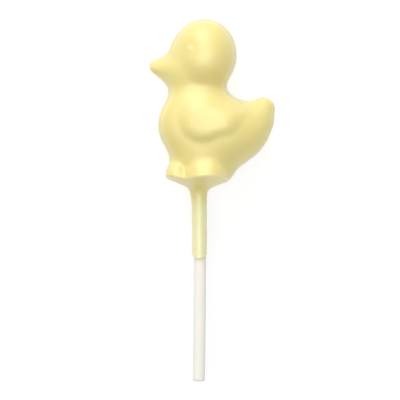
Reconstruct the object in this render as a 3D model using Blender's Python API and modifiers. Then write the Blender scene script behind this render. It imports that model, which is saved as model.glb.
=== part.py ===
# A duckling moulded in white chocolate, on a rolled paper stick.
#
# The lollipop lies on its far side with the shown side up. X points to the duckling's back, Y to its
# head and Z to the shown side. The origin is on the floor under the middle of the whole lollipop.
#
# The mould is drawn in millimetres: u runs from the sleeve's axis to the duckling's back, v from the rim
# of the base up to the head, and w from the parting plane to the shown side. Its two halves are alike,
# so a form stands on the parting plane and is given by its middle (u, v) and its sizes.

import math
from collections import namedtuple

import bmesh
import bpy
import numpy as np
from mathutils import Matrix, Vector

MM = 0.001

# Driving dimensions in millimetres
FIGURE_DEPTH = 25.0
REST_DEPTH = 12.35
SLEEVE_DIAMETER = 4.96
STICK_DIAMETER = 4.0
STICK_LENGTH = 101.6
STICK_SHOWN = 40.7
STICK_GAP = 0.08
SURFACE_STEP = 0.7
SURFACE_TRIANGLES = 9800

# A lump is an ellipsoid. Its outline is squarer where its squareness is above 2, and its sides are
# flatter where its flatness is. A taper is a row of balls that change evenly from its start to its end,
# and its depth is their half-size in w as a share of their radius.
Lump = namedtuple("Lump", "middle radii squareness flatness", defaults=(2.0, 2.0))
Taper = namedtuple("Taper", "start start_radius end end_radius depth", defaults=(1.0,))

# Forms of the duckling. The sides of the bill droop by BILL_DROOP for each millimetre of w
HEAD = Lump((1.82, 41.20), (10.58, 11.96, FIGURE_DEPTH / 2), 2.0, 2.3)
FACE = Lump((-2.55, 40.83), (7.39, 8.12, 5.87), 1.7, 2.0)
BILL = Taper((-14.49, 37.30), 2.12, (-8.33, 37.51), 4.29, 1.60)
BILL_DROOP = 0.20
MUZZLE = Taper((-12.51, 36.44), 2.82, (-4.08, 35.80), 7.99, 1.14)
NECK = Lump((-0.61, 30.28), (9.22, 7.22, 7.81), 2.7, 2.7)
BODY = Lump((-0.02, 17.84), (13.69, 13.06, 10.50), 2.0, 2.8)
WAIST = Lump((1.26, 6.24), (10.40, 6.85, 8.56))
TOE = Lump((-7.65, 1.50), (3.65, 4.30, 8.30), 1.8, 2.8)
HEEL = Lump((7.18, 2.55), (4.03, 3.87, 6.61), 1.9, 1.9)
SOLE = Lump((-0.49, -0.65), (8.87, 4.03, 9.12), 2.35, 2.35)
FEET = Lump((1.90, -0.43), (7.80, 8.15, 12.00), 2.5, 2.3)
COLLAR = Taper((-0.65, -3.22), 2.61, (-0.04, -11.12), 1.94)

# The rump and tail are balls against the inside of one arc, from under the belly up to the tail's tip
RUMP_ARC_MIDDLE = (4.20, 23.14)
RUMP_ARC_RADIUS = 20.91
RUMP_ARC_START = math.radians(-58.95)
RUMP_ARC_END = math.radians(0.2)
RUMP_START_RADIUS = 11.17
RUMP_END_RADIUS = 3.83
RUMP_BULGE = 0.75
RUMP_DEPTH = 0.97
RUMP_BALLS = 5

# The wing is the body's own surface raised inside an outline, least at its upper edge. Its crown rounds
# the line where the edges on both its sides meet
WING_FRONT = Taper((0.89, 19.89), 9.08, (8.37, 19.49), 6.11)
WING_REAR = Taper((8.37, 19.49), 6.11, (14.45, 22.12), 2.85)
WING_PROUD = 2.00
WING_PROUD_AT_TOP = 1.25
WING_CROWN = 1.3
WING_BOTTOM = 13.2
WING_TOP = 27.2
WING_CLEAR_OF_PARTING = 2.0

# The eye is a small bump in a wide shallow socket, both bell-shaped
EYE_MIDDLE = (-3.20, 43.45)
EYE_HEIGHT = 0.25
EYE_SPREAD = 0.70
SOCKET_DEPTH = 0.40
SOCKET_SPREAD = 2.2

# The underside of the base is a flat cone round the sleeve, steeper in w for the mould's draft
UNDERSIDE_MIDDLE = 0.33
UNDERSIDE_TIP = -4.47
UNDERSIDE_SLOPE = math.radians(21.0)
UNDERSIDE_DRAFT = 1.09
UNDERSIDE_BLUNTNESS = 0.55
BASE_WALL_END = -0.56

# The sleeve of chocolate round the stick ends in a tongue on each side of the parting plane
SLEEVE_RADIUS = SLEEVE_DIAMETER / 2
SLEEVE_TOP = 3.0
SLEEVE_BOTTOM = -24.7
SLEEVE_CAP = 2.1

# The stick sits a little off the sleeve's axis and is faintly bowed below it
STICK_RADIUS = STICK_DIAMETER / 2
STICK_BOTTOM = SLEEVE_BOTTOM - SLEEVE_CAP - STICK_SHOWN
STICK_TOP = STICK_BOTTOM + STICK_LENGTH
STICK_OFFSET = (0.20, -0.10)
STICK_LEAN = 0.003
STICK_BOW = 0.00017
STICK_RINGS = 16
STICK_EDGE = 0.5
STICK_EDGE_RINGS = 4
STICK_CURVE_RESOLUTION = 10
STICK_WELD = 0.01
BORE_SIDES = 32

# Width of the fillet where one form runs into the next
RUMP_FILLET = 1.4
HAUNCH_FILLET = 8.4
NECK_FILLET = 5.4
FACE_FILLET = 5.3
MUZZLE_FILLET = 3.1
BILL_FILLET = 1.8
THROAT_FILLET = 3.4
TOE_FILLET = 3.0
HEEL_FILLET = 0.8
FEET_FILLET = 2.0
ANKLE_FILLET = 6.5
BASE_WALL_FILLET = 1.1
RIM_FILLET = 0.9
WING_OUTLINE_FILLET = 3.0
WING_EDGE_FILLET = 10.3
WING_FOOT_FILLET = 1.3
COLLAR_FILLET = 0.9
FUNNEL_FILLET = 3.0
SLEEVE_END_FILLET = 0.4

# Making the surface
ROUGH_BALL_SUBDIVISIONS = 3
ROUGH_SIDES = 48
ROUGH_FEET_HEIGHT = 1.5
SLOPE_STEP = 0.02
SETTLE_STEPS = 6
LONGEST_SETTLE = 0.8
LEAST_STEEPNESS = 0.1
RELAX_ROUNDS = 4
RELAX_SHARE = 0.5
SHARP_ANGLE = math.radians(40.0)
TINY = 1e-9


def clear_scene():
    for thing in list(bpy.data.objects):
        bpy.data.objects.remove(thing, do_unlink=True)


def new_collection(name):
    collection = bpy.data.collections.new(name)
    bpy.context.scene.collection.children.link(collection)
    return collection


def join(a, b, fillet):
    """Distance to two forms that run into each other by a fillet."""
    near = np.maximum(fillet - np.abs(a - b), 0.0) / fillet
    return np.minimum(a, b) - near ** 3 * fillet / 6.0


def trim(a, b, fillet):
    """Distance to what two forms share, with its edge rounded."""
    return -join(-a, -b, fillet)


def lump_distance(lump, u, v, w):
    """Distance to a lump, true close to its surface."""
    square = lump.squareness
    flat = lump.flatness
    offsets = (u - lump.middle[0], v - lump.middle[1], w)
    share_u, share_v, share_w = [np.abs(offset) / radius + TINY
                                 for offset, radius in zip(offsets, lump.radii)]
    outline = (share_u ** square + share_v ** square) ** (1.0 / square)
    reach = (outline ** flat + share_w ** flat) ** (1.0 / flat)
    lean = (outline / reach) ** (flat - 1.0)
    slope_u = lean * (share_u / outline) ** (square - 1.0) / lump.radii[0]
    slope_v = lean * (share_v / outline) ** (square - 1.0) / lump.radii[1]
    slope_w = (share_w / reach) ** (flat - 1.0) / lump.radii[2]
    return (reach - 1.0) / np.sqrt(slope_u ** 2 + slope_v ** 2 + slope_w ** 2 + TINY)


def taper_distance(taper, u, v, w):
    """Distance to a row of balls that runs straight from the taper's start to its end."""
    run = (taper.end[0] - taper.start[0], taper.end[1] - taper.start[1])
    length = math.hypot(*run)
    along = ((u - taper.start[0]) * run[0] + (v - taper.start[1]) * run[1]) / length
    across = np.hypot(((u - taper.start[0]) * run[1] - (v - taper.start[1]) * run[0]) / length,
                      w / taper.depth)
    narrowing = (taper.start_radius - taper.end_radius) / length
    lean = narrowing / math.sqrt(1.0 - narrowing ** 2)
    share = np.clip((along - across * lean) / length, 0.0, 1.0)
    radius = taper.start_radius + (taper.end_radius - taper.start_radius) * share
    return np.hypot(along - share * length, across) - radius


def rump_ball(share):
    """Middle and radius of the ball at a share of the way along the rump's arc."""
    angle = RUMP_ARC_START + (RUMP_ARC_END - RUMP_ARC_START) * share
    radius = RUMP_START_RADIUS + (RUMP_END_RADIUS - RUMP_START_RADIUS) * share
    radius += RUMP_BULGE * 4.0 * share * (1.0 - share)
    reach = RUMP_ARC_RADIUS - radius
    middle = (RUMP_ARC_MIDDLE[0] + reach * math.cos(angle),
              RUMP_ARC_MIDDLE[1] + reach * math.sin(angle))
    return middle, radius


def rump_distance(u, v, w):
    """Rump and tail: tapers from ball to ball inside the arc."""
    balls = [rump_ball(number / (RUMP_BALLS - 1)) for number in range(RUMP_BALLS)]
    distance = None
    for (start, start_radius), (end, end_radius) in zip(balls, balls[1:]):
        piece = taper_distance(Taper(start, start_radius, end, end_radius, RUMP_DEPTH), u, v, w)
        distance = piece if distance is None else join(distance, piece, RUMP_FILLET)
    return distance


def head_distance(u, v, w):
    """Head with its face, muzzle and bill."""
    head = join(lump_distance(HEAD, u, v, w), lump_distance(FACE, u, v, w), FACE_FILLET)
    head = join(head, taper_distance(MUZZLE, u, v, w), MUZZLE_FILLET)
    return join(head, taper_distance(BILL, u, v + BILL_DROOP * w, w), BILL_FILLET)


def eye_relief(u, v):
    """How much the eye's bump and socket raise the head, below zero in the socket."""
    spread = (u - EYE_MIDDLE[0]) ** 2 + (v - EYE_MIDDLE[1]) ** 2
    bump = EYE_HEIGHT * np.exp(-spread / (2.0 * EYE_SPREAD ** 2))
    return bump - SOCKET_DEPTH * np.exp(-spread / (2.0 * SOCKET_SPREAD ** 2))


def base_distance(u, v, w):
    """Feet, toes and heel on one sole, with upright walls down to the underside's cone."""
    raised = trim(v, np.full_like(v, BASE_WALL_END), BASE_WALL_FILLET)
    front = join(lump_distance(WAIST, u, raised, w), lump_distance(TOE, u, raised, w), TOE_FILLET)
    front = join(front, lump_distance(SOLE, u, raised, w), TOE_FILLET)
    rear = join(lump_distance(FEET, u, raised, w), lump_distance(HEEL, u, raised, w), HEEL_FILLET)
    out = np.sqrt((u - UNDERSIDE_MIDDLE) ** 2 + (w * UNDERSIDE_DRAFT) ** 2 + UNDERSIDE_BLUNTNESS ** 2)
    under = (UNDERSIDE_TIP + math.tan(UNDERSIDE_SLOPE) * out - v) * math.cos(UNDERSIDE_SLOPE)
    return trim(join(front, rear, FEET_FILLET), under, RIM_FILLET)


def with_wing(body, u, v, w):
    """The wing: the body's surface, proud inside the wing's outline."""
    crown = np.full_like(u, WING_CROWN)
    outline = join(taper_distance(WING_FRONT, u, v, crown), taper_distance(WING_REAR, u, v, crown),
                   WING_OUTLINE_FILLET)
    climb = np.clip((v - WING_BOTTOM) / (WING_TOP - WING_BOTTOM), 0.0, 1.0)
    proud = WING_PROUD + (WING_PROUD_AT_TOP - WING_PROUD) * climb
    wing = trim(body - proud, outline, WING_EDGE_FILLET)
    wing = trim(wing, WING_CLEAR_OF_PARTING - w, WING_FOOT_FILLET)
    return join(body, wing, WING_FOOT_FILLET)


def sleeve_distance(u, v, w):
    """Sleeve round the stick, its tongue-shaped end and the collar that leads into it."""
    tube = np.hypot(u, w) - SLEEVE_RADIUS
    tongue = Lump((0.0, SLEEVE_BOTTOM), (SLEEVE_RADIUS, SLEEVE_CAP, SLEEVE_RADIUS))
    end = lump_distance(tongue, u, v, 0.0 * w)
    outline = np.where(v > SLEEVE_BOTTOM, np.abs(u) - SLEEVE_RADIUS, end)
    fillet = SLEEVE_END_FILLET * np.clip(SLEEVE_BOTTOM - v, 0.05, 1.0)
    tube = np.maximum(trim(tube, outline, fillet), v - SLEEVE_TOP)
    return join(tube, taper_distance(COLLAR, u, v, w), COLLAR_FILLET)


def duckling_distance(points):
    """Distance in millimetres from points (u, v, w) to the duckling's surface, below zero inside it."""
    u = points[:, 0]
    v = points[:, 1]
    w = np.abs(points[:, 2])
    form = join(lump_distance(BODY, u, v, w), rump_distance(u, v, w), HAUNCH_FILLET)
    form = join(form, lump_distance(NECK, u, v, w), NECK_FILLET)
    form = join(form, head_distance(u, v, w), THROAT_FILLET)
    form = join(form, base_distance(u, v, w), ANKLE_FILLET)
    form = with_wing(form, u, v, w) - eye_relief(u, v)
    return join(form, sleeve_distance(u, v, w), FUNNEL_FILLET)


def slope_of(points):
    """How the distance grows along u, v and w."""
    slopes = np.empty_like(points)
    for axis in range(3):
        step = np.zeros(3)
        step[axis] = SLOPE_STEP
        rise = duckling_distance(points + step) - duckling_distance(points - step)
        slopes[:, axis] = rise / (2.0 * SLOPE_STEP)
    return slopes


def settle(points):
    """Bring points onto the duckling's surface."""
    for _ in range(SETTLE_STEPS):
        slopes = slope_of(points)
        steepness = np.maximum((slopes ** 2).sum(axis=1), LEAST_STEEPNESS)
        move = np.clip(duckling_distance(points), -LONGEST_SETTLE, LONGEST_SETTLE) / steepness
        points = points - slopes * move[:, None]
    return points


def add_lump(bm, lump):
    """Rough solid of a lump, to start the surface from."""
    made = bmesh.ops.create_icosphere(bm, subdivisions=ROUGH_BALL_SUBDIVISIONS, radius=1.0)
    place = Matrix.Translation((lump.middle[0], lump.middle[1], 0.0)) @ Matrix.Diagonal((*lump.radii, 1.0))
    bmesh.ops.transform(bm, matrix=place, verts=made["verts"])


def add_taper(bm, taper):
    """Rough solid of a taper: the hull round the balls at its ends."""
    balls = bmesh.new()
    for middle, radius in ((taper.start, taper.start_radius), (taper.end, taper.end_radius)):
        ball = bmesh.ops.create_icosphere(balls, subdivisions=ROUGH_BALL_SUBDIVISIONS, radius=radius)
        place = Matrix.Translation((*middle, 0.0)) @ Matrix.Diagonal((1.0, 1.0, taper.depth, 1.0))
        bmesh.ops.transform(balls, matrix=place, verts=ball["verts"])
    bmesh.ops.convex_hull(balls, input=balls.verts, use_existing_faces=True)
    hull = bpy.data.meshes.new("hull")
    balls.to_mesh(hull)
    balls.free()
    bm.from_mesh(hull)
    bpy.data.meshes.remove(hull)


def rough_duckling():
    """The forms' rough solids and the sleeve, loosely overlapping, in millimetres."""
    bm = bmesh.new()
    for lump in (HEAD, FACE, NECK, BODY, WAIST, TOE, HEEL, SOLE):
        add_lump(bm, lump)
    for taper in (BILL, MUZZLE):
        add_taper(bm, taper)
    haunch, haunch_radius = rump_ball(0.0)
    tail, tail_radius = rump_ball(1.0)
    add_taper(bm, Taper(haunch, haunch_radius, tail, tail_radius, RUMP_DEPTH))
    lie = Matrix.Rotation(math.radians(90.0), 4, "X")
    feet = bmesh.ops.create_cone(bm, cap_ends=True, segments=ROUGH_SIDES, radius1=1.0, radius2=1.0,
                                 depth=1.0)
    place = Matrix.Translation((FEET.middle[0], ROUGH_FEET_HEIGHT, 0.0))
    size = Matrix.Diagonal((*FEET.radii, 1.0))
    bmesh.ops.transform(bm, matrix=place @ size @ lie, verts=feet["verts"])
    tube = bmesh.ops.create_cone(bm, cap_ends=True, segments=ROUGH_SIDES, radius1=SLEEVE_RADIUS,
                                 radius2=SLEEVE_RADIUS, depth=SLEEVE_TOP - SLEEVE_BOTTOM + SLEEVE_CAP)
    place = Matrix.Translation((0.0, (SLEEVE_TOP + SLEEVE_BOTTOM - SLEEVE_CAP) / 2, 0.0))
    bmesh.ops.transform(bm, matrix=place @ lie, verts=tube["verts"])
    return bm


def make_duckling(collection):
    """The chocolate figure: rough solids made one skin, which settles on the blended forms."""
    bm = rough_duckling()
    rough = bpy.data.meshes.new("rough_duckling")
    bm.to_mesh(rough)
    bm.free()
    duckling = bpy.data.objects.new("duckling", rough)
    collection.objects.link(duckling)
    skin = duckling.modifiers.new("skin", "REMESH")
    skin.mode = "VOXEL"
    skin.voxel_size = SURFACE_STEP
    evaluated = duckling.evaluated_get(bpy.context.evaluated_depsgraph_get())
    mesh = bpy.data.meshes.new_from_object(evaluated)
    mesh.name = "duckling"
    duckling.modifiers.clear()
    duckling.data = mesh
    bpy.data.meshes.remove(rough)

    bm = bmesh.new()
    bm.from_mesh(mesh)
    for _ in range(RELAX_ROUNDS):
        settle_verts(bm)
        bmesh.ops.smooth_vert(bm, verts=bm.verts, factor=RELAX_SHARE,
                              use_axis_x=True, use_axis_y=True, use_axis_z=True)
    settle_verts(bm)
    bmesh.ops.recalc_face_normals(bm, faces=bm.faces)
    bmesh.ops.transform(bm, matrix=Matrix.Scale(MM, 4), verts=bm.verts)
    bm.to_mesh(mesh)
    bm.free()
    return duckling


def settle_verts(bm):
    points = settle(np.array([tuple(vert.co) for vert in bm.verts]))
    for vert, point in zip(bm.verts, points):
        vert.co = Vector(point)


def stick_axis(v):
    """Where the stick's axis is at a height v."""
    below = max(SLEEVE_BOTTOM - SLEEVE_CAP - v, 0.0)
    return Vector((STICK_OFFSET[0] - STICK_LEAN * below - STICK_BOW * below ** 2, v, STICK_OFFSET[1]))


def stick_rings():
    """Heights and radii of the stick's rings, from its rounded lower end to its upper end."""
    rings = []
    for number in range(STICK_EDGE_RINGS):
        angle = math.radians(90.0) * number / STICK_EDGE_RINGS
        rings.append((STICK_BOTTOM + STICK_EDGE * (1.0 - math.sin(angle)),
                      STICK_RADIUS - STICK_EDGE * (1.0 - math.cos(angle))))
    lower = sorted(rings)
    upper = [(STICK_BOTTOM + STICK_TOP - height, radius) for height, radius in reversed(lower)]
    start = lower[-1][0]
    end = upper[0][0]
    middle = [(start + (end - start) * number / STICK_RINGS, STICK_RADIUS)
              for number in range(1, STICK_RINGS)]
    return lower + middle + upper


def make_stick(collection):
    """The paper stick: a round rod along its axis, with small rounded end corners."""
    curve = bpy.data.curves.new("stick_axis", "CURVE")
    curve.dimensions = "3D"
    curve.bevel_depth = STICK_RADIUS * MM
    curve.bevel_resolution = STICK_CURVE_RESOLUTION
    curve.use_fill_caps = True
    rings = stick_rings()
    spline = curve.splines.new("POLY")
    spline.points.add(len(rings) - 1)
    for point, (height, radius) in zip(spline.points, rings):
        point.co = (*(stick_axis(height) * MM), 1.0)
        point.radius = radius / STICK_RADIUS
    rod = bpy.data.objects.new("rod", curve)
    collection.objects.link(rod)
    evaluated = rod.evaluated_get(bpy.context.evaluated_depsgraph_get())
    mesh = bpy.data.meshes.new_from_object(evaluated)
    mesh.name = "stick"
    bpy.data.objects.remove(rod, do_unlink=True)
    bm = bmesh.new()
    bm.from_mesh(mesh)
    bmesh.ops.remove_doubles(bm, verts=bm.verts, dist=STICK_WELD * MM)
    bmesh.ops.recalc_face_normals(bm, faces=bm.faces)
    bm.to_mesh(mesh)
    bm.free()
    stick = bpy.data.objects.new("stick", mesh)
    collection.objects.link(stick)
    return stick


def make_bore_cutter(collection):
    """A rod a little wider than the stick, as long as the stick's hole."""
    start = SLEEVE_BOTTOM - SLEEVE_CAP - STICK_DIAMETER
    end = STICK_TOP + STICK_GAP
    radius = STICK_RADIUS + STICK_GAP
    bm = bmesh.new()
    bmesh.ops.create_cone(bm, cap_ends=True, segments=BORE_SIDES, radius1=radius, radius2=radius,
                          depth=end - start)
    lie = Matrix.Rotation(math.radians(90.0), 4, "X")
    place = Matrix.Translation((STICK_OFFSET[0], (start + end) / 2, STICK_OFFSET[1]))
    bmesh.ops.transform(bm, matrix=Matrix.Scale(MM, 4) @ place @ lie, verts=bm.verts)
    return cutter_from(bm, "bore_cutter", collection)


def make_rest_cutter(collection):
    """A block below the plane that the lollipop lies on, which flattens the far side's high spots."""
    size = 3.0 * FIGURE_DEPTH
    bm = bmesh.new()
    bmesh.ops.create_cube(bm, size=size)
    place = Matrix.Translation((BODY.middle[0], HEAD.middle[1] / 2, -REST_DEPTH - size / 2))
    bmesh.ops.transform(bm, matrix=Matrix.Scale(MM, 4) @ place, verts=bm.verts)
    return cutter_from(bm, "rest_cutter", collection)


def cutter_from(bm, name, collection):
    mesh = bpy.data.meshes.new(name)
    bm.to_mesh(mesh)
    bm.free()
    cutter = bpy.data.objects.new(name, mesh)
    cutter.hide_render = True
    cutter.display_type = "WIRE"
    collection.objects.link(cutter)
    return cutter


def thin_out(piece, triangles):
    """Leaves about so many triangles, the most of them where the surface bends most."""
    thinning = piece.modifiers.new("thinning", "DECIMATE")
    thinning.decimate_type = "COLLAPSE"
    thinning.use_collapse_triangulate = True
    thinning.ratio = triangles / sum(len(face.vertices) - 2 for face in piece.data.polygons)


def cut(piece, cutter):
    boolean = piece.modifiers.new(cutter.name, "BOOLEAN")
    boolean.operation = "DIFFERENCE"
    boolean.solver = "EXACT"
    boolean.object = cutter


def lay_on_floor(pieces, cutters):
    """Moves all meshes so that the origin is on the floor under the middle of the lollipop."""
    corners = [vert.co for piece in pieces for vert in piece.data.vertices]
    middle_x = (min(co.x for co in corners) + max(co.x for co in corners)) / 2
    middle_y = (min(co.y for co in corners) + max(co.y for co in corners)) / 2
    shift = Matrix.Translation((-middle_x, -middle_y, REST_DEPTH * MM))
    for thing in pieces + cutters:
        thing.data.transform(shift)


def make_material(name, colour, roughness):
    material = bpy.data.materials.new(name)
    material.use_nodes = True
    shader = material.node_tree.nodes["Principled BSDF"]
    shader.inputs["Base Color"].default_value = (*colour, 1.0)
    shader.inputs["Roughness"].default_value = roughness
    shader.inputs["Metallic"].default_value = 0.0
    return material


def finish(piece, material):
    piece.data.materials.clear()
    piece.data.materials.append(material)
    piece.data.shade_smooth()
    piece.data.set_sharp_from_angle(angle=SHARP_ANGLE)


def main():
    clear_scene()
    parts = new_collection("duckling_lollipop")
    cutters = new_collection("cutters")
    duckling = make_duckling(parts)
    stick = make_stick(parts)
    bore = make_bore_cutter(cutters)
    rest = make_rest_cutter(cutters)
    lay_on_floor([duckling, stick], [bore, rest])
    finish(duckling, make_material("yellow_white_chocolate", (0.93, 0.80, 0.38), 0.38))
    finish(stick, make_material("rolled_white_paper", (0.91, 0.90, 0.86), 0.75))
    thin_out(duckling, SURFACE_TRIANGLES)
    cut(duckling, rest)
    cut(duckling, bore)


main()
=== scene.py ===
# A duckling moulded in yellow-tinted white chocolate on a rolled paper stick, laid on its far side.
#
# The mould is drawn in millimetres: u runs from the sleeve's axis to the duckling's back, v from the rim
# of the base up to the head, and w from the parting plane to the shown side. In the frame, X runs along
# u, Y along v and Z along w.

import math
from collections import namedtuple

import bmesh
import bpy
import numpy as np
from bpy.props import FloatProperty, FloatVectorProperty, IntProperty, PointerProperty
from mathutils import Matrix, Vector


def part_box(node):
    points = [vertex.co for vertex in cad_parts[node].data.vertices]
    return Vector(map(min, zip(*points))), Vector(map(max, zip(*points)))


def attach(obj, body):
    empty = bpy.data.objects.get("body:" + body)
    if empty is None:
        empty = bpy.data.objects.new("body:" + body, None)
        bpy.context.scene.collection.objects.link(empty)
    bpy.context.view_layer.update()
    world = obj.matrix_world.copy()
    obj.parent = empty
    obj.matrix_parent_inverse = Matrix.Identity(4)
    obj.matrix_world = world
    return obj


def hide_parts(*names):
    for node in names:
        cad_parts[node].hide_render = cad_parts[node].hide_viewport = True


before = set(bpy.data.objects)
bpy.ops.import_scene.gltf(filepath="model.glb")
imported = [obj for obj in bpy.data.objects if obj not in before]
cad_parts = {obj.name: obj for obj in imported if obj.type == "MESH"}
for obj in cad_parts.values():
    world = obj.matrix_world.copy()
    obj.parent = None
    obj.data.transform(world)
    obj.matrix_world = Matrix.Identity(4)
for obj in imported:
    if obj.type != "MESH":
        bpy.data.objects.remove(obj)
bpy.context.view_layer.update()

bl_info = {
    "name": "Duckling Lollipop",
    "version": (1, 0, 0),
    "blender": (4, 5, 0),
    "location": "3D View > Sidebar > Lollipop",
    "description": "Adds a moulded white chocolate duckling, its paper stick and a plain stage",
    "category": "Add Mesh",
}

MM = 0.001

# Driving dimensions in millimetres
FIGURE_DEPTH = 25.0
REST_DEPTH = 12.35
SLEEVE_DIAMETER = 4.96
STICK_DIAMETER = 4.0
STICK_LENGTH = 101.6
STICK_SHOWN = 40.7

# A lump is an ellipsoid. Its outline is squarer where its squareness is above 2, and its sides are
# flatter where its flatness is. A taper is a row of balls that change evenly from its start to its end,
# and its depth is their half-size in w as a share of their radius.
Lump = namedtuple("Lump", "middle radii squareness flatness", defaults=(2.0, 2.0))
Taper = namedtuple("Taper", "start start_radius end end_radius depth", defaults=(1.0,))

# Forms of the duckling. The sides of the bill droop by BILL_DROOP for each millimetre of w
HEAD = Lump((1.82, 41.20), (10.58, 11.96, FIGURE_DEPTH / 2), 2.0, 2.3)
FACE = Lump((-2.55, 40.83), (7.39, 8.12, 5.87), 1.7, 2.0)
BILL = Taper((-14.49, 37.30), 2.12, (-8.33, 37.51), 4.29, 1.60)
BILL_DROOP = 0.20
MUZZLE = Taper((-12.51, 36.44), 2.82, (-4.08, 35.80), 7.99, 1.14)
NECK = Lump((-0.61, 30.28), (9.22, 7.22, 7.81), 2.7, 2.7)
BODY = Lump((-0.02, 17.84), (13.69, 13.06, 10.50), 2.0, 2.8)
WAIST = Lump((1.26, 6.24), (10.40, 6.85, 8.56))
TOE = Lump((-7.65, 1.50), (3.65, 4.30, 8.30), 1.8, 2.8)
HEEL = Lump((7.18, 2.55), (4.03, 3.87, 6.61), 1.9, 1.9)
SOLE = Lump((-0.49, -0.65), (8.87, 4.03, 9.12), 2.35, 2.35)
FEET = Lump((1.90, -0.43), (7.80, 8.15, 12.00), 2.5, 2.3)
COLLAR = Taper((-0.65, -3.22), 2.61, (-0.04, -11.12), 1.94)

# The rump and tail are balls against the inside of one arc, from under the belly up to the tail's tip
RUMP_ARC_MIDDLE = (4.20, 23.14)
RUMP_ARC_RADIUS = 20.91
RUMP_ARC_START = math.radians(-58.95)
RUMP_ARC_END = math.radians(0.2)
RUMP_START_RADIUS = 11.17
RUMP_END_RADIUS = 3.83
RUMP_BULGE = 0.75
RUMP_DEPTH = 0.97
RUMP_BALLS = 5

# The wing is the body's own surface raised inside an outline, least at its upper edge. Its crown rounds
# the line where the edges on both its sides meet
WING_FRONT = Taper((0.89, 19.89), 9.08, (8.37, 19.49), 6.11)
WING_REAR = Taper((8.37, 19.49), 6.11, (14.45, 22.12), 2.85)
WING_PROUD = 2.00
WING_PROUD_AT_TOP = 1.25
WING_CROWN = 1.3
WING_BOTTOM = 13.2
WING_TOP = 27.2
WING_CLEAR_OF_PARTING = 2.0

# The eye is a small bump in a wide shallow socket, both bell-shaped
EYE_MIDDLE = (-3.12, 42.95)
EYE_HEIGHT = 0.25
EYE_SPREAD = 0.75
SOCKET_DEPTH = 0.40
SOCKET_SPREAD = 2.2

# Fine relief: a seam where the mould's halves met, a lip round the rim, a faint unevenness made of waves,
# and nicks at (u, v) that the figure got on its way out. A wave is its radians per millimetre of u, those
# per millimetre of v, and its start. All of them turn by UNEVEN_TURN radians per millimetre of w
SEAM_HEIGHT = 0.04
SEAM_SPREAD = 0.22
LIP_HEIGHT = 0.13
LIP_SPREAD = 0.30
LIP_INSET = 0.55
UNEVEN_HEIGHT = 0.030
UNEVEN_TURN = 0.3
UNEVEN_WAVES = ((0.61, 0.23, 0.4), (-0.27, 0.55, 1.9), (0.44, -0.48, 3.1), (0.12, 0.83, 5.2))
NICK_DEPTH = 0.09
NICK_SPREAD = 0.28
NICKS = ((-3.05, 20.83), (-2.15, 18.73), (-0.08, 18.00), (1.65, 18.00), (-3.82, 18.00), (-2.05, 17.27),
         (-4.88, 0.45), (3.68, 1.30), (2.18, -17.03))

# Painted highlights, where the chocolate is made paler: a painted glint on the eye, painted highlights
# along the rim and round the sleeve's end, and a painted reflection line just inside the outline of head
# and chest. The mesh keeps the share of it at each point in an attribute with the name below
PAINTED_HIGHLIGHT = "highlighted"
HIGHLIGHT_WIDTH = 0.38
EYE_GLINT_WIDTH = 0.75
EYE_GLINT = 0.60
RIM_HIGHLIGHT = 0.60
TONGUE_HIGHLIGHT = 0.5
LINE_REFLECTION = 0.33
LINE_WIDTH = 0.24
LINE_INSET = 1.3
LINE_FADE = 2.0
LINE_BOTTOM = 8.0
LINE_RIGHT = 13.5
LINE_CLEAR_OF_BILL = 6.5

# The underside of the base is a flat cone round the sleeve, steeper in w for the mould's draft
UNDERSIDE_MIDDLE = 0.33
UNDERSIDE_TIP = -4.47
UNDERSIDE_SLOPE = math.radians(21.0)
UNDERSIDE_DRAFT = 1.09
UNDERSIDE_BLUNTNESS = 0.55
BASE_WALL_END = -0.56

# The sleeve of chocolate round the stick ends in a tongue on each side of the parting plane
SLEEVE_TOP = 3.0
SLEEVE_BOTTOM = -24.7
SLEEVE_CAP = 2.1

# The stick sits a little off the sleeve's axis and is faintly bowed below it
STICK_OFFSET = (0.20, -0.10)
STICK_LEAN = 0.003
STICK_BOW = 0.00017
STICK_EDGE = 0.5
STICK_EDGE_RINGS = 6
STICK_RINGS = 120
STICK_SIDES = 96
STICK_END_RINGS = 14
STICK_WELD = 0.001
BORE_SIDES = 96
BORE_TIGHTNESS = 0.01

# Patterns of the materials, in millimetres. The paper's fibres are finer and its layers about 0.15 mm
# thick, and both are drawn coarser so that they show
CLOUD_SIZE = 9.0
GRAIN_SIZE = 0.8
GRAIN_HEIGHT = 0.03
GLOSS_CHANGE = 0.04
THIN_FROM = -3.0
THIN_TO = -12.0
FIBRE_WIDTH = 0.5
FIBRE_SQUEEZE = 0.12
FIBRE_HEIGHT = 0.03
LAYER_THICKNESS = 0.35
# How far down the stick the painted shade below the chocolate reaches, and its strongest share
PAINTED_SHADE_LENGTH = 2.2
PAINTED_SHADE_MOST = 0.8

# Width of the fillet where one form runs into the next
RUMP_FILLET = 1.4
HAUNCH_FILLET = 8.4
NECK_FILLET = 5.4
FACE_FILLET = 5.3
MUZZLE_FILLET = 3.1
BILL_FILLET = 1.8
THROAT_FILLET = 3.4
TOE_FILLET = 3.0
HEEL_FILLET = 0.8
FEET_FILLET = 2.0
ANKLE_FILLET = 6.5
BASE_WALL_FILLET = 1.1
RIM_FILLET = 0.9
WING_OUTLINE_FILLET = 3.0
WING_EDGE_FILLET = 10.3
WING_FOOT_FILLET = 1.3
COLLAR_FILLET = 0.9
FUNNEL_FILLET = 3.0
SLEEVE_END_FILLET = 0.4
LEAST_FILLET_SHARE = 0.05
REST_FILLET = 0.3

# Making the surface
SURFACE_STEP = 0.5
ROUGH_BALL_SUBDIVISIONS = 3
ROUGH_SIDES = 48
ROUGH_FEET_HEIGHT = 1.5
SLOPE_STEP = 0.02
SETTLE_STEPS = 4
LONGEST_SETTLE = 0.8
LEAST_STEEPNESS = 0.1
RELAX_ROUNDS = 4
RELAX_SHARE = 0.5
SHARP_ANGLE = math.radians(40.0)
TINY = 1e-9

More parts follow.
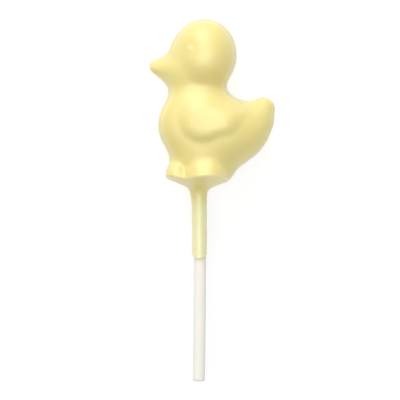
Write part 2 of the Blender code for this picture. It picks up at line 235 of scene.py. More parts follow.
# The stage, in metres: the floor's half width, the point that the lights aim at, and the lights
FLOOR_HALF_SIZE = 1.5
LIT_MIDDLE = (0.0, 0.01, REST_DEPTH * MM)
Softbox = namedtuple("Softbox", "name direction distance size")
KEY_LIGHT = Softbox("key_light", (-0.16, 0.80, 0.56), 0.8, 0.6)
FILL_LIGHT = Softbox("fill_light", (-0.08, 0.0, 1.0), 1.5, 1.1)

# Where the photograph has the sleeve's axis and the base's rim, in its own pixels, and its scale
PHOTO_WIDTH = 400.0
PHOTO_SLEEVE_AXIS_X = 199.45
PHOTO_RIM_Y = 178.5
PHOTO_PIXELS_PER_MM = 3.0


def linear(code):
    """An sRGB hex colour as linear red, green and blue."""
    shares = [int(code[place:place + 2], 16) / 255.0 for place in (0, 2, 4)]
    return tuple(share / 12.92 if share <= 0.04045 else ((share + 0.055) / 1.055) ** 2.4
                 for share in shares)


class DucklingSizes(bpy.types.PropertyGroup):
    """Sizes of the chocolate duckling."""

    figure_depth: FloatProperty(
        name="Figure depth", description="Thickness of the head, through both halves of the mould",
        default=FIGURE_DEPTH * MM, min=0.015, max=0.03, unit="LENGTH")
    wing_proud: FloatProperty(
        name="Wing height", description="How far the wing stands proud of the body at its lower edge",
        default=WING_PROUD * MM, min=0.0, max=0.003, unit="LENGTH")
    sleeve_diameter: FloatProperty(
        name="Sleeve diameter", description="Outer diameter of the chocolate round the stick",
        default=SLEEVE_DIAMETER * MM, min=0.0045, max=0.006, unit="LENGTH")
    surface_step: FloatProperty(
        name="Surface step", description="Size of the faces that the surface is laid with first",
        default=SURFACE_STEP * MM, min=0.0004, max=0.002, unit="LENGTH")


class StickSizes(bpy.types.PropertyGroup):
    """Sizes of the paper stick."""

    diameter: FloatProperty(
        name="Diameter", description="Diameter of the rolled paper",
        default=STICK_DIAMETER * MM, min=0.003, max=0.0045, unit="LENGTH")
    length: FloatProperty(
        name="Length", description="Length of the whole stick, most of it in the chocolate",
        default=STICK_LENGTH * MM, min=0.06, max=0.12, unit="LENGTH")
    sides: IntProperty(
        name="Sides", description="Faces round the stick", default=STICK_SIDES, min=24, max=192)


class ChocolateFinish(bpy.types.PropertyGroup):
    """Colours and gloss of the chocolate."""

    colour: FloatVectorProperty(
        name="Chocolate", description="Colour of the chocolate where it is thick",
        default=linear("f1e290"), min=0.0, max=1.0, subtype="COLOR")
    deep_colour: FloatVectorProperty(
        name="Mottling", description="Deeper yellow of the faint mottling",
        default=linear("ecdb85"), min=0.0, max=1.0, subtype="COLOR")
    # Painted highlight: the paler colour that the rims, the eye and a line inside the outline are painted
    # with
    painted_highlight_colour: FloatVectorProperty(
        name="Painted highlight", description="Paler colour where edges and the eye have been rubbed",
        default=linear("fff6cf"), min=0.0, max=1.0, subtype="COLOR")
    sleeve_colour: FloatVectorProperty(
        name="Sleeve", description="Colour where the chocolate is thin over the white stick",
        default=linear("f2ecb3"), min=0.0, max=1.0, subtype="COLOR")
    roughness: FloatProperty(
        name="Roughness", description="Roughness of the moulded surface",
        default=0.36, min=0.0, max=1.0, subtype="FACTOR")
    scatter: FloatProperty(
        name="Scatter", description="How far light spreads below the surface",
        default=1.2 * MM, min=0.0, max=0.005, unit="LENGTH")


class PaperFinish(bpy.types.PropertyGroup):
    """Colours of the paper."""

    colour: FloatVectorProperty(
        name="Paper", description="Colour of the paper",
        default=linear("f9f6ee"), min=0.0, max=1.0, subtype="COLOR")
    fibre_colour: FloatVectorProperty(
        name="Fibres", description="Colour of the darker fibres in the paper",
        default=linear("eee9df"), min=0.0, max=1.0, subtype="COLOR")
    layer_colour: FloatVectorProperty(
        name="Layer edges", description="Colour of the gaps between the paper's layers at the ends",
        default=linear("cfc9bc"), min=0.0, max=1.0, subtype="COLOR")
    # Painted shade: a yellowish darkening of the paper just below the chocolate, standing in for its
    # contact shadow and the warm light it reflects
    painted_shade_colour: FloatVectorProperty(
        name="Painted shade below chocolate", description="Yellowish colour painted on the paper just below the chocolate, for its shadow and reflected light",
        default=linear("f0ead0"), min=0.0, max=1.0, subtype="COLOR")
    roughness: FloatProperty(
        name="Roughness", description="Roughness of the paper",
        default=0.72, min=0.0, max=1.0, subtype="FACTOR")


class StageSettings(bpy.types.PropertyGroup):
    """The floor, the lights and the camera."""

    floor_colour: FloatVectorProperty(
        name="Floor", description="Colour of the floor",
        default=linear("868686"), min=0.0, max=1.0, subtype="COLOR")
    floor_glow: FloatProperty(
        name="Floor glow", description="Light that the floor gives off, as a light table does",
        default=0.80, min=0.0, max=2.0)
    key_power: FloatProperty(
        name="Key light", description="Power of the large soft light above the head",
        default=3.8, min=0.0, max=100.0, unit="POWER")
    fill_power: FloatProperty(
        name="Fill light", description="Power of the soft light over the camera",
        default=12.1, min=0.0, max=100.0, unit="POWER")
    sky_strength: FloatProperty(
        name="Room light", description="Strength of the even light from the whole room",
        default=0.32, min=0.0, max=5.0)
    camera_distance: FloatProperty(
        name="Camera distance", description="Height of the camera over the lollipop's parting plane",
        default=1.1, min=0.3, max=3.0, unit="LENGTH")


def join(a, b, fillet):
    """Distance to two forms that run into each other by a fillet."""
    near = np.maximum(fillet - np.abs(a - b), 0.0) / fillet
    return np.minimum(a, b) - near ** 3 * fillet / 6.0


def trim(a, b, fillet):
    """Distance to what two forms share, with its edge rounded."""
    return -join(-a, -b, fillet)


def lump_distance(lump, u, v, w):
    """Distance to a lump, true close to its surface."""
    square = lump.squareness
    flat = lump.flatness
    offsets = (u - lump.middle[0], v - lump.middle[1], w)
    share_u, share_v, share_w = [np.abs(offset) / radius + TINY
                                 for offset, radius in zip(offsets, lump.radii)]
    outline = (share_u ** square + share_v ** square) ** (1.0 / square)
    reach = (outline ** flat + share_w ** flat) ** (1.0 / flat)
    lean = (outline / reach) ** (flat - 1.0)
    slope_u = lean * (share_u / outline) ** (square - 1.0) / lump.radii[0]
    slope_v = lean * (share_v / outline) ** (square - 1.0) / lump.radii[1]
    slope_w = (share_w / reach) ** (flat - 1.0) / lump.radii[2]
    return (reach - 1.0) / np.sqrt(slope_u ** 2 + slope_v ** 2 + slope_w ** 2 + TINY)


def taper_distance(taper, u, v, w):
    """Distance to a row of balls that runs straight from the taper's start to its end."""
    run = (taper.end[0] - taper.start[0], taper.end[1] - taper.start[1])
    length = math.hypot(*run)
    along = ((u - taper.start[0]) * run[0] + (v - taper.start[1]) * run[1]) / length
    across = np.hypot(((u - taper.start[0]) * run[1] - (v - taper.start[1]) * run[0]) / length,
                      w / taper.depth)
    narrowing = (taper.start_radius - taper.end_radius) / length
    lean = narrowing / math.sqrt(1.0 - narrowing ** 2)
    share = np.clip((along - across * lean) / length, 0.0, 1.0)
    radius = taper.start_radius + (taper.end_radius - taper.start_radius) * share
    return np.hypot(along - share * length, across) - radius


def rump_ball(share):
    """Middle and radius of the ball at a share of the way along the rump's arc."""
    angle = RUMP_ARC_START + (RUMP_ARC_END - RUMP_ARC_START) * share
    radius = RUMP_START_RADIUS + (RUMP_END_RADIUS - RUMP_START_RADIUS) * share
    radius += RUMP_BULGE * 4.0 * share * (1.0 - share)
    reach = RUMP_ARC_RADIUS - radius
    middle = (RUMP_ARC_MIDDLE[0] + reach * math.cos(angle),
              RUMP_ARC_MIDDLE[1] + reach * math.sin(angle))
    return middle, radius


def rump_distance(u, v, w):
    """Rump and tail: tapers from ball to ball inside the arc."""
    balls = [rump_ball(number / (RUMP_BALLS - 1)) for number in range(RUMP_BALLS)]
    distance = None
    for (start, start_radius), (end, end_radius) in zip(balls, balls[1:]):
        piece = taper_distance(Taper(start, start_radius, end, end_radius, RUMP_DEPTH), u, v, w)
        distance = piece if distance is None else join(distance, piece, RUMP_FILLET)
    return distance


def head_distance(u, v, w):
    """Head with its face, muzzle and bill."""
    head = join(lump_distance(HEAD, u, v, w), lump_distance(FACE, u, v, w), FACE_FILLET)
    head = join(head, taper_distance(MUZZLE, u, v, w), MUZZLE_FILLET)
    return join(head, taper_distance(BILL, u, v + BILL_DROOP * w, w), BILL_FILLET)


def eye_relief(u, v):
    """How much the eye's bump and socket raise the head, below zero in the socket."""
    spread = (u - EYE_MIDDLE[0]) ** 2 + (v - EYE_MIDDLE[1]) ** 2
    bump = EYE_HEIGHT * np.exp(-spread / (2.0 * EYE_SPREAD ** 2))
    return bump - SOCKET_DEPTH * np.exp(-spread / (2.0 * SOCKET_SPREAD ** 2))


def mould_relief(u, v, w):
    """How much the mould's fine relief raises the figure. Only the shown side, above w = 0, has nicks."""
    depth = np.abs(w)
    relief = SEAM_HEIGHT * np.exp(-(depth / SEAM_SPREAD) ** 2)
    for along_u, along_v, start in UNEVEN_WAVES:
        wave = np.sin(along_u * u + along_v * v + start + UNEVEN_TURN * depth)
        relief += UNEVEN_HEIGHT / len(UNEVEN_WAVES) * wave
    for nick_u, nick_v in NICKS:
        spread = ((u - nick_u) ** 2 + (v - nick_v) ** 2) / NICK_SPREAD ** 2
        relief -= NICK_DEPTH * np.exp(-spread) * (w > 0.0)
    return relief


def base_sides(u, v, w):
    """Distances to the feet, toes and heel on their sole, and to the underside's cone below them."""
    raised = trim(v, np.full_like(v, BASE_WALL_END), BASE_WALL_FILLET)
    front = join(lump_distance(WAIST, u, raised, w), lump_distance(TOE, u, raised, w), TOE_FILLET)
    front = join(front, lump_distance(SOLE, u, raised, w), TOE_FILLET)
    rear = join(lump_distance(FEET, u, raised, w), lump_distance(HEEL, u, raised, w), HEEL_FILLET)
    out = np.sqrt((u - UNDERSIDE_MIDDLE) ** 2 + (w * UNDERSIDE_DRAFT) ** 2 + UNDERSIDE_BLUNTNESS ** 2)
    under = (UNDERSIDE_TIP + math.tan(UNDERSIDE_SLOPE) * out - v) * math.cos(UNDERSIDE_SLOPE)
    return join(front, rear, FEET_FILLET), under


def base_distance(u, v, w):
    """The base: feet and sole with upright walls down to the underside, and a lip round the rim."""
    walls, under = base_sides(u, v, w)
    lip = LIP_HEIGHT * np.exp(-((under + LIP_INSET) / LIP_SPREAD) ** 2)
    return trim(walls - lip, under, RIM_FILLET)


def with_wing(body, u, v, w, wing_proud):
    """The wing: the body's surface, proud inside the wing's outline."""
    crown = np.full_like(u, WING_CROWN)
    outline = join(taper_distance(WING_FRONT, u, v, crown), taper_distance(WING_REAR, u, v, crown),
                   WING_OUTLINE_FILLET)
    climb = np.clip((v - WING_BOTTOM) / (WING_TOP - WING_BOTTOM), 0.0, 1.0)
    proud = wing_proud * (1.0 + (WING_PROUD_AT_TOP / WING_PROUD - 1.0) * climb)
    wing = trim(body - proud, outline, WING_EDGE_FILLET)
    wing = trim(wing, WING_CLEAR_OF_PARTING - w, WING_FOOT_FILLET)
    return join(body, wing, WING_FOOT_FILLET)


def tongue_distance(u, v, radius):
    """Distance to the outline of the sleeve's end."""
    return lump_distance(Lump((0.0, SLEEVE_BOTTOM), (radius, SLEEVE_CAP, radius)), u, v, 0.0 * u)


def sleeve_distance(u, v, w, radius):
    """Sleeve round the stick, its tongue-shaped end and the collar that leads into it. The fillet round
    the end fades out to where the sleeve's straight sides start."""
    tube = np.hypot(u, w) - radius
    end = tongue_distance(u, v, radius)
    outline = np.where(v > SLEEVE_BOTTOM, np.abs(u) - radius, end)
    fillet = SLEEVE_END_FILLET * np.clip(SLEEVE_BOTTOM - v, LEAST_FILLET_SHARE, 1.0)
    tube = np.maximum(trim(tube, outline, fillet), v - SLEEVE_TOP)
    return join(tube, taper_distance(COLLAR, u, v, w), COLLAR_FILLET)


def figure_distance(u, v, w):
    """Distance to the figure without its wing, its eye and the sleeve."""
    form = join(lump_distance(BODY, u, v, w), rump_distance(u, v, w), HAUNCH_FILLET)
    form = join(form, lump_distance(NECK, u, v, w), NECK_FILLET)
    form = join(form, head_distance(u, v, w), THROAT_FILLET)
    return join(form, base_distance(u, v, w), ANKLE_FILLET)


def duckling_distance(points, sizes):
    """Distance in millimetres from points (u, v, w) to the duckling's surface, below zero inside it."""
    u = points[:, 0]
    v = points[:, 1]
    w = np.abs(points[:, 2])
    deep = w * FIGURE_DEPTH * MM / sizes.figure_depth
    form = figure_distance(u, v, deep)
    form = with_wing(form, u, v, deep, sizes.wing_proud / MM) - eye_relief(u, v)
    form = join(form, sleeve_distance(u, v, w, sizes.sleeve_diameter / MM / 2), FUNNEL_FILLET)
    form = form - mould_relief(u, v, points[:, 2])
    return trim(form, -REST_DEPTH - points[:, 2], REST_FILLET)


def settle(points, sizes):
    """Bring points onto the duckling's surface."""
    for _ in range(SETTLE_STEPS):
        distance = duckling_distance(points, sizes)
        slopes = np.empty_like(points)
        for axis in range(3):
            step = np.zeros(3)
            step[axis] = SLOPE_STEP
            slopes[:, axis] = (duckling_distance(points + step, sizes) - distance) / SLOPE_STEP
        steepness = np.maximum((slopes ** 2).sum(axis=1), LEAST_STEEPNESS)
        move = np.clip(distance, -LONGEST_SETTLE, LONGEST_SETTLE) / steepness
        points = points - slopes * move[:, None]
    return points


def settle_verts(bm, sizes):
    """Brings a bmesh's vertices onto the duckling's surface."""
    points = settle(np.array([tuple(vert.co) for vert in bm.verts]), sizes)
    for vert, point in zip(bm.verts, points):
        vert.co = Vector(point)


def add_lump(bm, lump):
    """Rough solid of a lump, to start the surface from."""
    made = bmesh.ops.create_icosphere(bm, subdivisions=ROUGH_BALL_SUBDIVISIONS, radius=1.0)
    place = Matrix.Translation((lump.middle[0], lump.middle[1], 0.0)) @ Matrix.Diagonal((*lump.radii, 1.0))
    bmesh.ops.transform(bm, matrix=place, verts=made["verts"])


def add_taper(bm, taper):
    """Rough solid of a taper: the hull round the balls at its ends."""
    balls = bmesh.new()
    for middle, radius in ((taper.start, taper.start_radius), (taper.end, taper.end_radius)):
        ball = bmesh.ops.create_icosphere(balls, subdivisions=ROUGH_BALL_SUBDIVISIONS, radius=radius)
        place = Matrix.Translation((*middle, 0.0)) @ Matrix.Diagonal((1.0, 1.0, taper.depth, 1.0))
        bmesh.ops.transform(balls, matrix=place, verts=ball["verts"])
    bmesh.ops.convex_hull(balls, input=balls.verts, use_existing_faces=True)
    hull = bpy.data.meshes.new("hull")
    balls.to_mesh(hull)
    balls.free()
    bm.from_mesh(hull)
    bpy.data.meshes.remove(hull)


def rough_duckling(sizes):
    """The forms' rough solids and the sleeve, loosely overlapping, in millimetres."""
    bm = bmesh.new()
    for lump in (HEAD, FACE, NECK, BODY, WAIST, TOE, HEEL, SOLE):
        add_lump(bm, lump)
    for taper in (BILL, MUZZLE):
        add_taper(bm, taper)
    haunch, haunch_radius = rump_ball(0.0)
    tail, tail_radius = rump_ball(1.0)
    add_taper(bm, Taper(haunch, haunch_radius, tail, tail_radius, RUMP_DEPTH))
    lie = Matrix.Rotation(math.radians(90.0), 4, "X")
    feet = bmesh.ops.create_cone(bm, cap_ends=True, segments=ROUGH_SIDES, radius1=1.0, radius2=1.0,
                                 depth=1.0)
    place = Matrix.Translation((FEET.middle[0], ROUGH_FEET_HEIGHT, 0.0))
    size = Matrix.Diagonal((*FEET.radii, 1.0))
    bmesh.ops.transform(bm, matrix=place @ size @ lie, verts=feet["verts"])
    radius = sizes.sleeve_diameter / MM / 2
    tube = bmesh.ops.create_cone(bm, cap_ends=True, segments=ROUGH_SIDES, radius1=radius, radius2=radius,
                                 depth=SLEEVE_TOP - SLEEVE_BOTTOM + SLEEVE_CAP)
    place = Matrix.Translation((0.0, (SLEEVE_TOP + SLEEVE_BOTTOM - SLEEVE_CAP) / 2, 0.0))
    bmesh.ops.transform(bm, matrix=place @ lie, verts=tube["verts"])
    return bm


def object_from(bm, name):
    """Makes an object of a bmesh and frees the bmesh."""
    mesh = bpy.data.meshes.new(name)
    bm.to_mesh(mesh)
    bm.free()
    piece = bpy.data.objects.new(name, mesh)
    bpy.context.scene.collection.objects.link(piece)
    return piece


def apply_modifiers(piece):
    """Replaces a piece's mesh by what its modifiers make of it."""
    evaluated = piece.evaluated_get(bpy.context.evaluated_depsgraph_get())
    mesh = bpy.data.meshes.new_from_object(evaluated)
    mesh.name = piece.name
    piece.modifiers.clear()
    rough = piece.data
    piece.data = mesh
    bpy.data.meshes.remove(rough)


def relax(bm):
    """Evens out the faces."""
    bmesh.ops.smooth_vert(bm, verts=bm.verts, factor=RELAX_SHARE,
                          use_axis_x=True, use_axis_y=True, use_axis_z=True)


def skin_of(bm, sizes):
    """One even skin round the rough solids, settled on the blended forms."""
    piece = object_from(bm, "chocolate_duckling")
    skin = piece.modifiers.new("skin", "REMESH")
    skin.mode = "VOXEL"
    skin.voxel_size = sizes.surface_step / MM
    apply_modifiers(piece)
    bm = bmesh.new()
    bm.from_mesh(piece.data)
    for _ in range(RELAX_ROUNDS):
        settle_verts(bm, sizes)
        relax(bm)
    bmesh.ops.subdivide_edges(bm, edges=bm.edges, cuts=1, use_grid_fill=True)
    settle_verts(bm, sizes)
    relax(bm)
    settle_verts(bm, sizes)
    bmesh.ops.recalc_face_normals(bm, faces=bm.faces)
    bm.to_mesh(piece.data)
    bm.free()
    return piece


def into_frame():
    """From millimetres in the mould to metres in the frame, found by where the frame has the stick."""
    low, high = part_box("stick")
    shift_x = high.x - (STICK_OFFSET[0] + STICK_DIAMETER / 2) * MM
    shift_y = low.y - stick_bottom() * MM
    return Matrix.Translation((shift_x, shift_y, REST_DEPTH * MM)) @ Matrix.Scale(MM, 4)


def frame_height(v):
    """Y in the frame, in metres, of a height v in the mould."""
    return (into_frame() @ Vector((0.0, v, 0.0))).y


def stick_bottom():
    """Height v of the stick's free end."""
    return SLEEVE_BOTTOM - SLEEVE_CAP - STICK_SHOWN


def stick_axis(v):
    """Where the stick's axis is at a height v."""
    below = max(SLEEVE_BOTTOM - SLEEVE_CAP - v, 0.0)
    return Vector((STICK_OFFSET[0] - STICK_LEAN * below - STICK_BOW * below ** 2, v, STICK_OFFSET[1]))


def painted_highlight_share(points, sizes):
    """How much painted highlight the chocolate's skin gets at points (u, v, w): on the rim, the eye, the
    sleeve's end and a line inside the outline.
    """
    u = points[:, 0]
    v = points[:, 1]
    w = np.abs(points[:, 2])
    walls, under = base_sides(u, v, w)
    rim = RIM_HIGHLIGHT * np.exp(-(walls ** 2 + under ** 2) / HIGHLIGHT_WIDTH ** 2)
    inset = -figure_distance(u, v, 0.0 * w)
    from_bill = np.hypot(u - MUZZLE.start[0], v - MUZZLE.start[1])
    within = np.minimum.reduce([v - LINE_BOTTOM, LINE_RIGHT - u, from_bill - LINE_CLEAR_OF_BILL])
    line = LINE_REFLECTION * np.exp(-((inset - LINE_INSET) / LINE_WIDTH) ** 2)
    line *= np.clip(within / LINE_FADE, 0.0, 1.0)
    from_eye = (u - EYE_MIDDLE[0]) ** 2 + (v - EYE_MIDDLE[1]) ** 2
    eye = EYE_GLINT * np.exp(-from_eye / EYE_GLINT_WIDTH ** 2)
    end = tongue_distance(u, v, sizes.sleeve_diameter / MM / 2)
    tongue = TONGUE_HIGHLIGHT * np.exp(-(end / HIGHLIGHT_WIDTH) ** 2) * (v < SLEEVE_BOTTOM)
    return np.maximum.reduce([rim, line, eye, tongue])


def mark_painted_highlight(piece, sizes):
    """Keeps the painted highlight's share of each point with the mesh, which is still in the mould's
    millimetres.
    """
    points = np.array([tuple(vert.co) for vert in piece.data.vertices])
    shares = piece.data.attributes.new(PAINTED_HIGHLIGHT, "FLOAT", "POINT")
    shares.data.foreach_set("value", painted_highlight_share(points, sizes).astype(np.float32))


def bore_cutter(stick):
    """A rod as wide as the stick, less a hair so that no gap shows round it."""
    start = SLEEVE_BOTTOM - SLEEVE_CAP - stick.diameter / MM
    end = stick_bottom() + stick.length / MM
    radius = stick.diameter / MM / 2 - BORE_TIGHTNESS
    bm = bmesh.new()
    bmesh.ops.create_cone(bm, cap_ends=True, segments=BORE_SIDES, radius1=radius, radius2=radius,
                          depth=end - start)
    lie = Matrix.Rotation(math.radians(90.0), 4, "X")
    place = Matrix.Translation((STICK_OFFSET[0], (start + end) / 2, STICK_OFFSET[1]))
    bmesh.ops.transform(bm, matrix=place @ lie, verts=bm.verts)
    return object_from(bm, "bore_cutter")


def finish_piece(piece, node, material):
    """Gives a piece its material and smooth shading, attaches it to the root body and hides the node that
    it stands for.
    """
    piece.data.materials.clear()
    piece.data.materials.append(material)
    piece.data.shade_smooth()
    piece.data.set_sharp_from_angle(angle=SHARP_ANGLE)
    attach(piece, "root")
    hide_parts(node)


def add_duckling(sizes, stick, finish):
    """The chocolate figure and its sleeve, bored for the stick."""
    piece = skin_of(rough_duckling(sizes), sizes)
    cutter = bore_cutter(stick)
    bore = piece.modifiers.new("bore", "BOOLEAN")
    bore.operation = "DIFFERENCE"
    bore.solver = "EXACT"
    bore.object = cutter
    apply_modifiers(piece)
    bpy.data.objects.remove(cutter, do_unlink=True)
    # Marks where the material paints highlights
    mark_painted_highlight(piece, sizes)
    piece.data.transform(into_frame())
    finish_piece(piece, "duckling", moulded_white_chocolate(finish))
    return piece


def stick_profile(sizes):
    """Heights and radii down the stick's outline, from the middle of one end to the middle of the other."""
    radius = sizes.diameter / MM / 2
    bottom = stick_bottom()
    flat = [(bottom, (radius - STICK_EDGE) * number / STICK_END_RINGS)
            for number in range(STICK_END_RINGS)]
    edge = []
    for number in range(STICK_EDGE_RINGS + 1):
        angle = math.radians(90.0) * number / STICK_EDGE_RINGS
        edge.append((bottom + STICK_EDGE * (1.0 - math.cos(angle)),
                     radius - STICK_EDGE * (1.0 - math.sin(angle))))
    half = flat + edge
    span = sizes.length / MM
    other = [(2.0 * bottom + span - height, reach) for height, reach in reversed(half)]
    start = half[-1][0]
    end = other[0][0]
    side = [(start + (end - start) * number / STICK_RINGS, radius) for number in range(1, STICK_RINGS)]
    return half + side + other


def add_stick(sizes, finish):
    """The rolled paper stick: its outline spun round its axis, then faintly bowed."""
    bm = bmesh.new()
    verts = [bm.verts.new((reach, height, 0.0)) for height, reach in stick_profile(sizes)]
    edges = [bm.edges.new(pair) for pair in zip(verts, verts[1:])]
    bmesh.ops.spin(bm, geom=verts + edges, cent=(0.0, 0.0, 0.0), axis=(0.0, 1.0, 0.0),
                   angle=math.radians(360.0), steps=sizes.sides, use_merge=True)
    bmesh.ops.remove_doubles(bm, verts=bm.verts, dist=STICK_WELD)
    for vert in bm.verts:
        vert.co += stick_axis(vert.co.y) - Vector((0.0, vert.co.y, 0.0))
    bmesh.ops.recalc_face_normals(bm, faces=bm.faces)
    piece = object_from(bm, "paper_stick")
    piece.data.transform(into_frame())
    finish_piece(piece, "stick", rolled_paper(finish))
    return piece


def new_material(name):
    """A material with its shader and object coordinates."""
    material = bpy.data.materials.new(name)
    material.use_nodes = True
    shader = material.node_tree.nodes["Principled BSDF"]
    place = add_node(material, "ShaderNodeTexCoord").outputs["Object"]
    return material, shader, place


def add_node(material, kind, inputs=None, **settings):
    """Adds a node. Each input takes a value, or the output of another node."""
    node = material.node_tree.nodes.new(kind)
    for name, value in settings.items():
        setattr(node, name, value)
    for name, value in (inputs or {}).items():
        feed(material, node, name, value)
    return node


def feed(material, node, name, value):
    """Sets an input's value, or links the output that feeds it."""
    if isinstance(value, bpy.types.NodeSocket):
        material.node_tree.links.new(value, node.inputs[name])
    else:
        node.inputs[name].default_value = value


def per_metre(size_mm):
    """Scale of a pattern whose features are so many millimetres across."""
    return 1.0 / (size_mm * MM)


def wave_scale(size_mm):
    """Scale of a wave pattern whose waves are so many millimetres apart."""
    return math.pi / 10.0 / (size_mm * MM)


def moulded_white_chocolate(finish):
    """White chocolate tinted yellow, set in a polished mould: a satin skin, with light that goes a
    millimetre in and comes out warmer, faint cloudy mottling where the cocoa butter set unevenly, painted
    highlights on the rims and the eye, and a painted reflection line just inside the outline."""
    material, shader, place = new_material("moulded_white_chocolate")
    clouds = add_node(material, "ShaderNodeTexNoise",
                      {"Vector": place, "Scale": per_metre(CLOUD_SIZE), "Detail": 3.0, "Roughness": 0.5})
    mottling = add_node(material, "ShaderNodeMix",
                        {"Factor": clouds.outputs["Fac"], 6: (*finish.colour, 1.0),
                         7: (*finish.deep_colour, 1.0)}, data_type="RGBA")
    height = add_node(material, "ShaderNodeSeparateXYZ", {"Vector": place}).outputs["Y"]
    thinness = add_node(material, "ShaderNodeMapRange",
                        {"Value": height, "From Min": frame_height(THIN_FROM),
                         "From Max": frame_height(THIN_TO)}, interpolation_type="SMOOTHSTEP")
    colour = add_node(material, "ShaderNodeMix",
                      {"Factor": thinness.outputs["Result"], 6: mottling.outputs[2],
                       7: (*finish.sleeve_colour, 1.0)}, data_type="RGBA")
    # Painted highlights: a paler colour mixed in on the rims, the eye and a line inside the outline
    highlighted = add_node(material, "ShaderNodeAttribute", attribute_name=PAINTED_HIGHLIGHT)
    highlighted_colour = add_node(material, "ShaderNodeMix",
                       {"Factor": highlighted.outputs["Fac"], 6: colour.outputs[2],
                        7: (*finish.painted_highlight_colour, 1.0)}, data_type="RGBA")
    grain = add_node(material, "ShaderNodeTexNoise",
                     {"Vector": place, "Scale": per_metre(GRAIN_SIZE), "Detail": 2.0,
                      "Roughness": 0.5})
    bump = add_node(material, "ShaderNodeBump",
                    {"Height": grain.outputs["Fac"], "Strength": 0.25, "Distance": GRAIN_HEIGHT * MM})
    gloss = add_node(material, "ShaderNodeMapRange",
                     {"Value": clouds.outputs["Fac"], "To Min": finish.roughness - GLOSS_CHANGE,
                      "To Max": finish.roughness + GLOSS_CHANGE})
    feed(material, shader, "Base Color", highlighted_colour.outputs[2])
    feed(material, shader, "Roughness", gloss.outputs["Result"])
    feed(material, shader, "Normal", bump.outputs["Normal"])
    feed(material, shader, "IOR", 1.45)
    feed(material, shader, "Coat Weight", 1.0)
    feed(material, shader, "Coat Roughness", 0.55)
    feed(material, shader, "Coat IOR", 1.8)
    feed(material, shader, "Subsurface Weight", 0.35)
    feed(material, shader, "Subsurface Radius", (1.0, 0.75, 0.35))
    feed(material, shader, "Subsurface Scale", finish.scatter)
    return material


def rolled_paper(finish):
    """Machine-finished white paper rolled tight: matte, with faint fibres that run along the stick, the
    edges of the layers as rings on its ends, and a painted yellowish shade just below the chocolate, for
    its contact shadow and the warm light it reflects."""
    material, shader, place = new_material("rolled_white_paper")
    axis = into_frame() @ stick_axis(stick_bottom())
    centred = add_node(material, "ShaderNodeMapping",
                       {"Vector": place, "Location": (-axis.x, 0.0, -axis.z), "Scale": (1.0, 0.0, 1.0)})
    layers = add_node(material, "ShaderNodeTexWave",
                      {"Vector": centred.outputs["Vector"], "Scale": wave_scale(LAYER_THICKNESS),
                       "Distortion": 0.6, "Detail": 1.0},
                      wave_type="RINGS", rings_direction="Y")
    geometry = add_node(material, "ShaderNodeNewGeometry")
    normal = add_node(material, "ShaderNodeSeparateXYZ", {"Vector": geometry.outputs["Normal"]})
    lengthwise = add_node(material, "ShaderNodeMath", {0: normal.outputs["Y"]}, operation="ABSOLUTE")
    on_end = add_node(material, "ShaderNodeMapRange",
                      {"Value": lengthwise.outputs["Value"], "From Min": 0.85, "From Max": 0.98})
    rings = add_node(material, "ShaderNodeMath",
                     {0: layers.outputs["Fac"], 1: on_end.outputs["Result"]}, operation="MULTIPLY")
    along = add_node(material, "ShaderNodeMapping",
                     {"Vector": place, "Scale": (1.0, FIBRE_SQUEEZE, 1.0)})
    fibres = add_node(material, "ShaderNodeTexNoise",
                      {"Vector": along.outputs["Vector"], "Scale": per_metre(FIBRE_WIDTH), "Detail": 4.0,
                       "Roughness": 0.6})
    paper = add_node(material, "ShaderNodeMix",
                     {"Factor": fibres.outputs["Fac"], 6: (*finish.colour, 1.0),
                      7: (*finish.fibre_colour, 1.0)}, data_type="RGBA")
    ringed = add_node(material, "ShaderNodeMix",
                      {"Factor": rings.outputs["Value"], 6: paper.outputs[2],
                       7: (*finish.layer_colour, 1.0)}, data_type="RGBA")
    # Painted shade just below the chocolate: the paper is mixed towards a yellowish shade, for the
    # chocolate's contact shadow and the warm light it reflects
    height = add_node(material, "ShaderNodeSeparateXYZ", {"Vector": place}).outputs["Y"]
    sleeve_end = frame_height(SLEEVE_BOTTOM - SLEEVE_CAP)
    shaded = add_node(material, "ShaderNodeMapRange",
                      {"Value": height, "From Min": sleeve_end - PAINTED_SHADE_LENGTH * MM,
                       "From Max": sleeve_end, "To Max": PAINTED_SHADE_MOST},
                      interpolation_type="SMOOTHSTEP")
    colour = add_node(material, "ShaderNodeMix",
                      {"Factor": shaded.outputs["Result"], 6: ringed.outputs[2],
                       7: (*finish.painted_shade_colour, 1.0)}, data_type="RGBA")
    rough = add_node(material, "ShaderNodeMath",
                     {0: fibres.outputs["Fac"], 1: rings.outputs["Value"]}, operation="SUBTRACT")
    bump = add_node(material, "ShaderNodeBump",
                    {"Height": rough.outputs["Value"], "Strength": 0.4, "Distance": FIBRE_HEIGHT * MM})
    feed(material, shader, "Base Color", colour.outputs[2])
    feed(material, shader, "Roughness", finish.roughness)
    feed(material, shader, "Normal", bump.outputs["Normal"])
    return material


def frosted_floor(settings):
    """Frosted acrylic over a light table: an even white that shadows barely mark."""
    material, shader, _ = new_material("frosted_acrylic")
    feed(material, shader, "Base Color", (*settings.floor_colour, 1.0))
    feed(material, shader, "Roughness", 0.9)
    feed(material, shader, "Specular IOR Level", 0.0)
    feed(material, shader, "Emission Color", (1.0, 1.0, 1.0, 1.0))
    feed(material, shader, "Emission Strength", settings.floor_glow)
    return material


def add_area_light(softbox, target, power):
    """A square soft light that shines on a target from the softbox's direction."""
    light = bpy.data.lights.new(softbox.name, "AREA")
    light.shape = "SQUARE"
    light.size = softbox.size
    light.energy = power
    lamp = bpy.data.objects.new(softbox.name, light)
    aim = Vector(softbox.direction).normalized()
    lamp.location = target + aim * softbox.distance
    lamp.rotation_euler = aim.to_track_quat("Z", "Y").to_euler()
    bpy.context.scene.collection.objects.link(lamp)


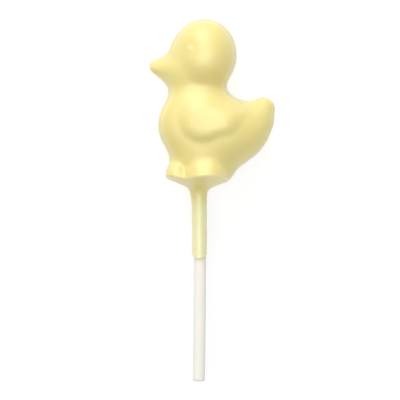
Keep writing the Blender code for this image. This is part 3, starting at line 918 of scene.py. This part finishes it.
def add_camera(settings):
    """A camera straight over the lollipop, whose picture has the photograph's scale and framing."""
    u = (PHOTO_WIDTH / 2 - PHOTO_SLEEVE_AXIS_X) / PHOTO_PIXELS_PER_MM
    v = (PHOTO_RIM_Y - PHOTO_WIDTH / 2) / PHOTO_PIXELS_PER_MM
    lens = bpy.data.cameras.new("camera")
    lens.sensor_fit = "HORIZONTAL"
    half_width = PHOTO_WIDTH / PHOTO_PIXELS_PER_MM * MM / 2
    lens.angle = 2.0 * math.atan(half_width / settings.camera_distance)
    camera = bpy.data.objects.new("camera", lens)
    camera.location = into_frame() @ Vector((u, v, 0.0)) + Vector((0.0, 0.0, settings.camera_distance))
    bpy.context.scene.collection.objects.link(camera)
    bpy.context.scene.camera = camera


def add_stage(settings):
    """Floor, lights, room light and camera."""
    bm = bmesh.new()
    bmesh.ops.create_grid(bm, x_segments=1, y_segments=1, size=FLOOR_HALF_SIZE)
    floor = object_from(bm, "floor")
    floor.data.materials.append(frosted_floor(settings))
    for light, power in ((KEY_LIGHT, settings.key_power), (FILL_LIGHT, settings.fill_power)):
        add_area_light(light, Vector(LIT_MIDDLE), power)
    world = bpy.data.worlds.new("room")
    world.use_nodes = True
    room = world.node_tree.nodes["Background"]
    room.inputs["Color"].default_value = (1.0, 1.0, 1.0, 1.0)
    room.inputs["Strength"].default_value = settings.sky_strength
    bpy.context.scene.world = world
    bpy.context.scene.view_settings.view_transform = "Standard"
    add_camera(settings)


class LOLLIPOP_OT_duckling(bpy.types.Operator):
    """Add the chocolate duckling"""

    bl_idname = "lollipop.duckling"
    bl_label = "Chocolate Duckling"
    bl_options = {"REGISTER", "UNDO"}

    def execute(self, context):
        scene = context.scene
        add_duckling(scene.duckling_sizes, scene.stick_sizes, scene.chocolate_finish)
        return {"FINISHED"}


class LOLLIPOP_OT_stick(bpy.types.Operator):
    """Add the rolled paper stick"""

    bl_idname = "lollipop.stick"
    bl_label = "Paper Stick"
    bl_options = {"REGISTER", "UNDO"}

    def execute(self, context):
        scene = context.scene
        add_stick(scene.stick_sizes, scene.paper_finish)
        return {"FINISHED"}


class LOLLIPOP_OT_stage(bpy.types.Operator):
    """Add the floor, the lights and the camera"""

    bl_idname = "lollipop.stage"
    bl_label = "Stage"
    bl_options = {"REGISTER", "UNDO"}

    def execute(self, context):
        add_stage(context.scene.lollipop_stage)
        return {"FINISHED"}


class LOLLIPOP_PT_panel(bpy.types.Panel):
    """Sizes, finishes and pieces of the lollipop"""

    bl_label = "Duckling Lollipop"
    bl_space_type = "VIEW_3D"
    bl_region_type = "UI"
    bl_category = "Lollipop"

    def draw(self, context):
        for name, _ in SETTINGS:
            box = self.layout.box()
            group = getattr(context.scene, name)
            for prop in group.bl_rna.properties:
                if prop.identifier not in ("rna_type", "name"):
                    box.prop(group, prop.identifier)
        for operator in OPERATORS:
            self.layout.operator(operator.bl_idname)


SETTINGS = (
    ("duckling_sizes", DucklingSizes),
    ("stick_sizes", StickSizes),
    ("chocolate_finish", ChocolateFinish),
    ("paper_finish", PaperFinish),
    ("lollipop_stage", StageSettings),
)
OPERATORS = (LOLLIPOP_OT_duckling, LOLLIPOP_OT_stick, LOLLIPOP_OT_stage)


def register():
    for name, group in SETTINGS:
        bpy.utils.register_class(group)
        setattr(bpy.types.Scene, name, PointerProperty(type=group))
    for operator in OPERATORS:
        bpy.utils.register_class(operator)
    bpy.utils.register_class(LOLLIPOP_PT_panel)


def unregister():
    bpy.utils.unregister_class(LOLLIPOP_PT_panel)
    for operator in reversed(OPERATORS):
        bpy.utils.unregister_class(operator)
    for name, group in reversed(SETTINGS):
        delattr(bpy.types.Scene, name)
        bpy.utils.unregister_class(group)


def main():
    register()
    bpy.ops.lollipop.stage()
    bpy.ops.lollipop.duckling()
    bpy.ops.lollipop.stick()


if __name__ == "__main__":
    main()
